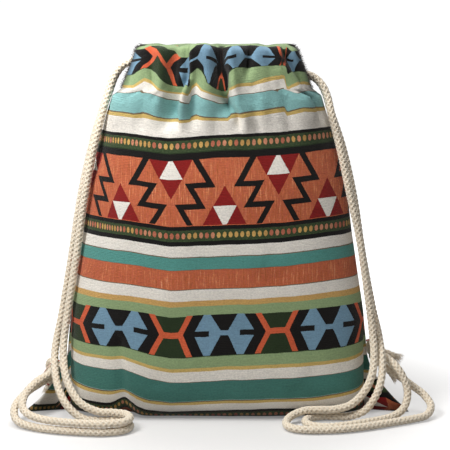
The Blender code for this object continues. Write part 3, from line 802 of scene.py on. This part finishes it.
def build_canvas(material):
    verts, faces, cloth, shared, hems = [], [], [], {}, []
    for side in (1, -1):
        outer, crest, inner = channel_rows(side)
        down = body_rows(side)
        rows = inner[::-1] + crest[::-1] + outer[::-1] + down
        channel = len(inner) + len(crest) + len(outer)
        fold_row = len(inner) + len(crest) // 2
        steps = np.linalg.norm(np.diff(np.array(rows), axis=0), axis=2)
        run = np.vstack([np.zeros(COLUMNS + 1), np.cumsum(steps, axis=0)])
        run = (run - run[fold_row]) * 1000.0
        widest = down[np.argmin([abs(row[len(row) // 2, 2] - WIDTH_Z) for row in down])]
        width = run_length(widest)[-1] * 1000.0
        across = (np.linspace(0.0, 1.0, COLUMNS + 1) - 0.5) * width
        lengths = np.array([run_length(row) for row in rows]) * 1000.0
        lengths -= lengths[:, COLUMNS // 2][:, None]
        index = np.zeros((len(rows), COLUMNS + 1), int)
        level = np.median(run, axis=1)
        wander = run - level[:, None]
        calm = smoothed(wander, WANDER_SPAN)
        for r, row in enumerate(rows):
            for c in range(COLUMNS + 1):
                edge = r == len(rows) - 1 or (r >= channel and c in (0, COLUMNS))
                if edge and (r, c) in shared:
                    index[r, c] = shared[(r, c)]
                    continue
                index[r, c] = len(verts)
                if edge:
                    shared[(r, c)] = len(verts)
                verts.append(row[c])
                x, _, z = row[c]
                gathered = float(smooth_step(0.300, 0.338, z))
                print_x = lengths[r, c] + (across[c] - lengths[r, c]) * gathered + PRINT_SHIFT
                down_mm, shade = run[r, c], 0.0
                if side > 0 and r > fold_row:
                    print_x, down_mm, shade = front_print(x, z, print_x, level[r], wander[r, c], calm[r, c])
                down_mm = float(np.interp(down_mm, PRINT_RUN, PRINT_AT))
                down_mm -= bottom_share(z) * np.interp(x, EAR_X, EAR_DROP)
                # Painted shade inside the channel.
                if r < fold_row:
                    shade = INSIDE_SHADE
                from_slit = min(c, COLUMNS - c)
                if r < channel and from_slit < SLIT_COLUMNS:
                    shade = SLIT_SHADE - SLIT_FADE * from_slit
                cloth.append((print_x, down_mm, shade))
        for r in range(len(rows) - 1):
            for c in range(COLUMNS):
                quad = (index[r, c], index[r, c + 1], index[r + 1, c + 1], index[r + 1, c])
                faces.append(quad if side < 0 else quad[::-1])
        for c, way in ((0, -1.0), (COLUMNS, 1.0)):
            hems.append((np.array([rows[r][c] for r in range(fold_row, channel)]), way))
    obj = mesh_object("canvas", verts, faces, material)
    put_attribute(obj, "cloth", cloth)
    thicken(obj, CLOTH_THICK)
    return obj, hems


FRAY_COUNT = 520
FRAY_THICK = 0.00016
FRAY_LENGTH = (0.0014, 0.0042)


def fray_material():
    mat, shader, m = new_material("frayed_edge", 0.95, 0.2)
    number = m.attribute("strand")[0]
    tone = m.noise(number, 0.0, 1.0)
    colour = m.ramp(tone, [
        (0.35, srgb(38, 32, 28)), (0.5, srgb(66, 58, 50)), (0.62, srgb(48, 40, 34)), (0.75, srgb(120, 110, 98)),
    ], "LINEAR")
    m.put(shader.inputs["Base Color"], colour)
    return mat


def build_fray(hems, material):
    """Short loose threads standing out of the raw edges of the channel beside the ropes."""
    rng = np.random.default_rng(17)
    verts, faces, numbers = [], [], []
    for edge, way in hems:
        line = even_points(edge, FRAY_COUNT)
        for root in line:
            lean = np.array([way * rng.uniform(0.35, 1.0), rng.uniform(-0.7, 0.7), rng.uniform(-0.8, 0.8)])
            lean *= rng.uniform(*FRAY_LENGTH) / np.linalg.norm(lean)
            curl = rng.uniform(-0.0012, 0.0012, 3)
            root = root + rng.uniform(-0.0006, 0.0006, 3)
            first = len(verts)
            for i in range(4):
                t = i / 3.0
                middle = root + lean * t + curl * t * t
                for k in range(3):
                    turn = 2.0 * math.pi * k / 3.0
                    slim = FRAY_THICK * (1.0 - 0.6 * t)
                    verts.append(middle + np.array([0.0, math.cos(turn), math.sin(turn)]) * slim)
                    numbers.append((first * 0.173, 0.0, 0.0))
            faces += ring_faces(first, 4, 3)
    obj = mesh_object("frayed_edges", verts, faces, material)
    put_attribute(obj, "strand", numbers)
    return obj


# The ropes.
ROPE_RADIUS = 0.0040
ROPE_SIDES = 24
ROPE_STEP = 0.0009
STRANDS = 4
BRAID_PITCH = 0.0210


def rope_material():
    mat, shader, m = new_material("rope", 0.9, 0.35)
    s, a, groove_shade = m.attribute("braid")
    fibre = m.noise(m.mul(s, 0.9), m.mul(a, 3.0), 3.0, 0.65)
    patch = m.noise(m.mul(s, 0.05), 0.0, 2.0, 0.5, 4.0)
    colour = m.ramp(fibre, [
        (0.25, srgb(230, 212, 184)), (0.50, srgb(247, 236, 216)), (0.75, srgb(254, 248, 235)),
    ], "LINEAR")
    # Painted shade in the grooves between the braid's strands.
    colour = m.mix(m.mul(groove_shade, 0.55), colour, srgb(196, 170, 138))
    colour = m.mix(m.linear(patch, 0.5, -0.15), colour, srgb(240, 216, 182))
    m.put(shader.inputs["Base Color"], colour)
    add_bump(m, shader, fibre, 0.7, 0.0008)
    return mat


def frames_along(path):
    tangent = np.gradient(path, axis=0)
    tangent /= np.linalg.norm(tangent, axis=1)[:, None]
    normal = np.zeros_like(path)
    start = np.cross(tangent[0], (0.3, 0.2, 1.0))
    normal[0] = start / np.linalg.norm(start)
    for i in range(1, len(path)):
        flat = normal[i - 1] - tangent[i] * np.dot(normal[i - 1], tangent[i])
        normal[i] = flat / np.linalg.norm(flat)
    return tangent, normal, np.cross(tangent, normal)


def braided_tube(name, path, material, radius=ROPE_RADIUS, sides=ROPE_SIDES, taper=None):
    """A tube along the path with the crossing strands of a braid standing out of it."""
    _, normal, binormal = frames_along(path)
    run = run_length(path)
    angle = np.linspace(0.0, 2.0 * math.pi, sides, endpoint=False)
    spin = 2.0 * math.pi * run[:, None] / BRAID_PITCH
    one = np.abs(np.cos(STRANDS * 0.5 * (angle[None, :] + spin)))
    two = np.abs(np.cos(STRANDS * 0.5 * (angle[None, :] - spin)))
    stand = np.maximum(one, two)
    # How far down between the strands each point lies, which the rope's colour darkens as painted shade.
    groove_shade = np.clip((0.86 - stand) / 0.3, 0.0, 1.0)
    size = radius * (1.05 - 0.42 * (1.0 - stand ** 2))
    if taper is not None:
        size = size * taper[:, None]
    ring = (normal[:, None, :] * np.cos(angle)[None, :, None] + binormal[:, None, :] * np.sin(angle)[None, :, None])
    pts = path[:, None, :] + ring * size[:, :, None]
    count = len(path)
    verts = pts.reshape(-1, 3)
    faces = ring_faces(0, count, sides)
    faces.append(tuple(range(sides))[::-1])
    faces.append(tuple((count - 1) * sides + k for k in range(sides)))
    obj = mesh_object(name, verts, faces, material)
    put_attribute(obj, "braid", np.column_stack([
        np.repeat(run * 1000.0, sides), np.tile(angle, count), groove_shade.ravel(),
    ]))
    return obj


def channel_line(z, side):
    xs = np.linspace(-1.0, 1.0, 6) * TURN_CENTRE
    crown = TURN_RADIUS + CHANNEL_CROWN * (0.5 + 0.5 * np.cos(math.pi * xs / TURN_CENTRE))
    front = [(side * -x, -y, z) for x, y in zip(xs, crown)]
    turns = np.radians((-60.0, -30.0, 0.0, 30.0, 60.0))
    round_end = [(side * -(TURN_CENTRE + TURN_RADIUS * math.cos(t)), TURN_RADIUS * math.sin(t), z) for t in turns]
    back = [(x, -y, z) for x, y, z in front[::-1]]
    return front + round_end + back


def build_rope(name, front, back, z, side, material):
    route = list(front[::-1]) + channel_line(z, side) + list(back)
    path = smooth_route(route, ROPE_STEP)
    return braided_tube(name, path, material), path


# The knots.
FIBRES = 90
FIBRE_SPREAD = 0.0042
FIBRE_LENGTH = 0.0120
FIBRE_THICK = 0.00028
KNOT_RADIUS = 0.0039
TAIL_RADIUS = 0.0036
KNOT_SIDES = 20


def tuft(verts, faces, root, way, rng):
    """Loose fibres from the end of a rope."""
    way = Vector(way).normalized()
    side = way.orthogonal().normalized()
    up = way.cross(side)
    for _ in range(FIBRES):
        turn = rng.uniform(0.0, 2.0 * math.pi)
        r0 = ROPE_RADIUS * 0.8 * math.sqrt(rng.random())
        out = side * math.cos(turn) + up * math.sin(turn)
        start = Vector(root) + out * r0
        reach = FIBRE_LENGTH * rng.uniform(0.55, 1.0)
        flare = FIBRE_SPREAD * rng.uniform(0.2, 1.0)
        bend = Vector((rng.uniform(-1, 1), rng.uniform(-1, 1), rng.uniform(-1, 1))) * 0.0022
        points = []
        for i in range(6):
            t = i / 5.0
            points.append(start + way * reach * t + out * flare * t * t + bend * math.sin(t * 3.0))
        first = len(verts)
        for i, point in enumerate(points):
            slim = FIBRE_THICK * (1.0 - 0.5 * i / 5.0)
            for k in range(3):
                ang = 2.0 * math.pi * k / 3.0
                verts.append(tuple(point + side * math.cos(ang) * slim + up * math.sin(ang) * slim))
        faces += ring_faces(first, 6, 3)


def build_knot(name, centre, tails, material, seed):
    """An overhand knot of rope with two short tails that end in loose fibres."""
    turns = np.linspace(0.0, 2.0 * math.pi, 150)
    loop = np.column_stack([
        np.sin(turns) + 2.0 * np.sin(2.0 * turns),
        np.cos(turns) - 2.0 * np.cos(2.0 * turns),
        -1.35 * np.sin(3.0 * turns),
    ])
    loop *= np.array([0.0030, 0.0030, 0.0034])
    tilt = math.radians(35.0)
    turn = np.array([[math.cos(tilt), 0, math.sin(tilt)], [0, 1, 0], [-math.sin(tilt), 0, math.cos(tilt)]])
    path = loop @ turn.T + np.array(centre)
    knot = braided_tube(name, path, material, KNOT_RADIUS, KNOT_SIDES)
    rng = random.Random(seed)
    pieces = [knot]
    hair_verts, hair_faces = [], []
    for number, points in enumerate(tails):
        line = smooth_route(points, 0.0011)
        slim = 1.0 + 0.12 * np.linspace(0.0, 1.0, len(line)) ** 3
        pieces.append(braided_tube(f"{name}_tail_{number}", line, material, TAIL_RADIUS, KNOT_SIDES, slim))
        tuft(hair_verts, hair_faces, line[-3], line[-1] - line[-4], rng)
    hair = mesh_object(name + "_fibres", hair_verts, hair_faces, material)
    put_attribute(hair, "braid", np.column_stack([
        np.arange(len(hair_verts)) * 0.37, np.zeros(len(hair_verts)), np.full(len(hair_verts), 0.1),
    ]))
    pieces.append(hair)
    return pieces


# The ribbon loops.
def ribbon_material():
    mat, shader, m = new_material("ribbon", 0.7, 0.1)
    along, over, _ = m.attribute("ribbon")
    fleck = m.noise(m.mul(along, 1.5), m.mul(over, 2.0), 2.0)
    edge = m.less(2.5, m.do("ABSOLUTE", over))
    colour = m.mix(edge, srgb(196, 46, 34), srgb(238, 226, 206))
    colour = m.mix(m.linear(fleck, 0.6, -0.15), colour, srgb(120, 40, 30))
    m.put(shader.inputs["Base Color"], colour)
    add_bump(m, shader, m.do("SINE", m.mul(along, 6.0)), 0.3, 0.0003)
    return mat


def seam_at(z, side):
    dense = curve_through(PANEL_ROWS, np.linspace(0.0, len(PANEL_ROWS) - 1, 600))
    near = int(np.argmin(np.abs(dense[:, 2] - z)))
    point = np.array([side * dense[near, 0], -dense[near, 1], dense[near, 2]])
    ahead = dense[near + 12] - dense[near - 12]
    down = np.array([side * ahead[0], 0.0, ahead[2]])
    return point, down / np.linalg.norm(down)


def build_tab(name, place_on_seam, side, material):
    z, root = place_on_seam
    seam, down = seam_at(z, side)
    out = np.array([-down[2] * side, 0.0, down[0] * side])
    profile = (
        (-1.0, root), (-0.98, 0.55 * TAB_REACH), (-0.62, 0.94 * TAB_REACH),
        (0.62, 0.94 * TAB_REACH), (0.98, 0.55 * TAB_REACH), (1.0, root),
    )
    line = smooth_route([(along * TAB_SPREAD, reach) for along, reach in profile], 0.0008)
    cells = 8
    verts, faces, marks = [], [], []
    for i, (along, reach) in enumerate(line):
        place = seam + down * along + out * reach
        for k in range(cells + 1):
            over = k / cells - 0.5
            wave = 0.0002 * math.sin(i * 0.5 + k)
            verts.append(tuple(place + np.array([0.0, over * TAB_WIDTH, 0.0]) + out * wave))
            marks.append((i * 0.8, over * TAB_WIDTH * 1000.0, 0.0))
    for i in range(len(line) - 1):
        for k in range(cells):
            a = i * (cells + 1) + k
            faces.append((a, a + 1, a + cells + 2, a + cells + 1))
    obj = mesh_object(name, verts, faces, material)
    put_attribute(obj, "ribbon", marks)
    thicken(obj, TAB_THICK)
    return obj


# Everything put together.
canvas_look = canvas_material()
rope_look = rope_material()
ribbon_look = ribbon_material()

canvas, hem_edges = build_canvas(canvas_look)
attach(canvas, "root")
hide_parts("canvas_body")
fray = build_fray(hem_edges, fray_material())
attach(fray, "root")

rope_left, left_path = build_rope("rope_left", LEFT_FRONT, LEFT_BACK, LEFT_ROPE_Z, -1, rope_look)
rope_right, right_path = build_rope("rope_right", RIGHT_FRONT, RIGHT_BACK, RIGHT_ROPE_Z, 1, rope_look)

LEFT_TAILS = metres((
    ((-179, 14, 33), (-183, 17, 25), (-185, 20, 16)), ((-174, 15, 34), (-170, 20, 26), (-164, 30, 17)),
))
RIGHT_TAILS = metres((
    ((176, 15, 57), (184, 14, 56), (193, 13, 52)), ((175, 15, 52), (182, 12, 43), (191, 8, 33)),
))
left_knot = build_knot("knot_rope_left", LEFT_KNOT, LEFT_TAILS, rope_look, 1)
right_knot = build_knot("knot_rope_right", RIGHT_KNOT, RIGHT_TAILS, rope_look, 2)
for pieces, node in ((left_knot, "knot_left"), (right_knot, "knot_right")):
    for piece in pieces:
        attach(piece, "root")
    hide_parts(node)

for rope, path, node, knot in (
    (rope_left, left_path, "cord_left", left_knot),
    (rope_right, right_path, "cord_right", right_knot),
):
    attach(rope, "root")
    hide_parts(node)

for name, spot, side, node in (("loop_left", LEFT_TAB, -1, "tab_left"), ("loop_right", RIGHT_TAB, 1, "tab_right")):
    tab = build_tab(name, spot, side, ribbon_look)
    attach(tab, "root")
    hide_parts(node)

# The floor, the backdrop and the lamps.
floor_mat, floor_shader, m = new_material("floor", 0.8)
seen = m.tree.nodes.new("ShaderNodeLightPath").outputs["Is Camera Ray"]
far_off = m.tree.nodes.new("ShaderNodeVectorMath")
far_off.operation = "LENGTH"
m.put(far_off.inputs[0], m.tree.nodes.new("ShaderNodeNewGeometry").outputs["Position"])
glow = m.tree.nodes.new("ShaderNodeMapRange")
glow.interpolation_type = "SMOOTHSTEP"
for name, value in (
    ("Value", far_off.outputs["Value"]), ("From Min", 0.10), ("From Max", 0.52), ("To Min", 0.20), ("To Max", 1.0),
):
    m.put(glow.inputs[name], value)
for name, value in (
    ("Specular IOR Level", 0.0), ("Emission Strength", m.mul(seen, glow.outputs[0])),
    ("Emission Color", (1.0, 1.0, 1.0)), ("Base Color", m.mix(seen, (0.55, 0.54, 0.53), (0.62, 0.61, 0.60))),
):
    m.put(floor_shader.inputs[name], value)
floor = mesh_object("floor", [(-4, -3, 0), (4, -3, 0), (4, 5, 0), (-4, 5, 0)], [(0, 1, 2, 3)], floor_mat, False)

world = bpy.data.worlds.new("world")
bpy.context.scene.world = world
world.use_nodes = True
m = Maths(world.node_tree)
light = m.tree.nodes["Background"]
backdrop = m.tree.nodes.new("ShaderNodeBackground")
for node, strength in ((light, 0.14), (backdrop, 1.05)):
    m.put(node.inputs["Color"], (1.0, 1.0, 1.0))
    m.put(node.inputs["Strength"], strength)
choose = m.tree.nodes.new("ShaderNodeMixShader")
m.put(choose.inputs[0], m.tree.nodes.new("ShaderNodeLightPath").outputs["Is Camera Ray"])
m.put(choose.inputs[1], light.outputs[0])
m.put(choose.inputs[2], backdrop.outputs[0])
m.put(m.tree.nodes["World Output"].inputs["Surface"], choose.outputs[0])


def area_light(name, place, target, size, power):
    data = bpy.data.lights.new(name, "AREA")
    data.shape = "DISK"
    data.size = size
    data.energy = power
    lamp = link(bpy.data.objects.new(name, data))
    lamp.location = place
    lamp.rotation_euler = (Vector(target) - Vector(place)).to_track_quat("-Z", "Y").to_euler()


area_light("key", (-0.62, -0.66, 1.00), (0, 0, 0.25), 0.36, 8.0)
area_light("near", (-0.27, -0.20, 0.66), (0, -0.03, 0.30), 0.12, 1.2)
area_light("behind", (0.45, 1.10, 0.95), (0, 0, 0.2), 0.8, 6.0)
area_light("top", (0.05, -0.12, 1.20), (0, 0, 0.1), 0.6, 5.0)

bpy.context.scene.view_settings.view_transform = "Standard"
